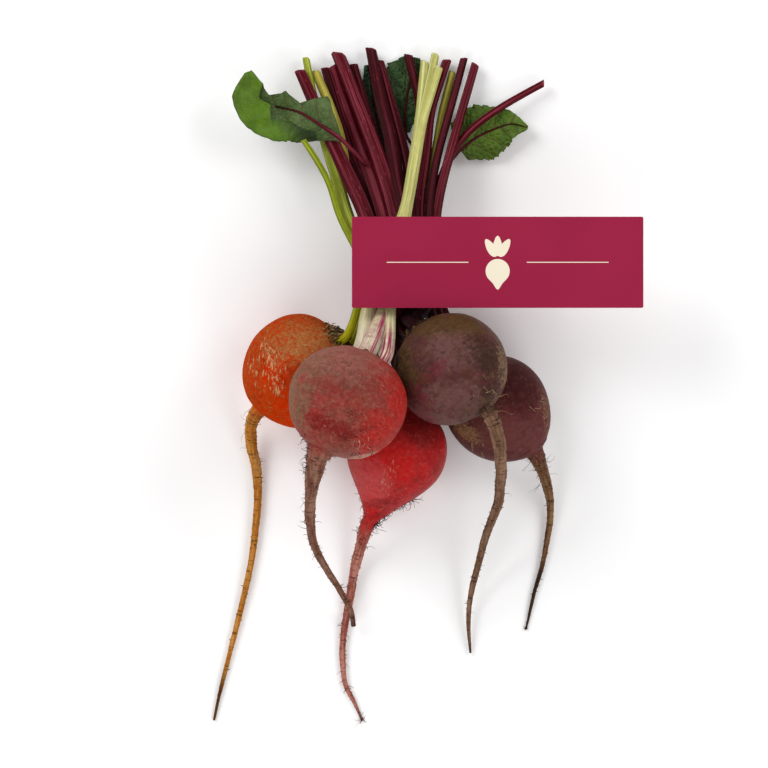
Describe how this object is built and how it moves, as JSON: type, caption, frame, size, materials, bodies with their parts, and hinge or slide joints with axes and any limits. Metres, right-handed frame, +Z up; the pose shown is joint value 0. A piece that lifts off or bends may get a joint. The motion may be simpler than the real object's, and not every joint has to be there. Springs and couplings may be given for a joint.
{
  "type": "bunch of beetroot",
  "caption": "Bunch of round beetroots lying on its side, with long taproots, cut leaf stalks, small leaves and a card label whose strap ties the stalks.",
  "frame": {"origin": "on the surface that the bunch lies on, under the middle of its extent", "axes": "+Y along the bunch from the roots to the cut stalks, +Z up, +X to the side that the label stands out to"},
  "size_m": [0.2234, 0.354, 0.1064],
  "materials": {
    "golden_skin": "waxy orange-red skin with corky brown patches",
    "dusky_skin": "dusty red-brown skin",
    "scarlet_skin": "smooth bright red skin",
    "violet_skin": "dusty dark purple skin",
    "plum_skin": "brown-purple skin",
    "green_stalk": "ribbed yellow-green stalk",
    "cream_stalk": "ribbed cream-green stalk",
    "wine_stalk": "ribbed wine-red stalk",
    "leaf": "waxy green leaf with red-purple veins",
    "card": "coated burgundy card"
  },
  "bodies": {
    "root": {"root_golden": "golden_skin", "root_dusky": "dusky_skin", "root_scarlet": "scarlet_skin", "root_violet": "violet_skin", "root_plum": "plum_skin", "stalks_golden": "green_stalk", "stalks_dusky": "cream_stalk", "stalks_scarlet": "wine_stalk", "stalks_violet": "wine_stalk", "stalks_plum": "wine_stalk", "leaf_left": "leaf", "leaf_right": "leaf", "leaf_centre": "leaf", "label": "card"}
  },
  "joints": []
}
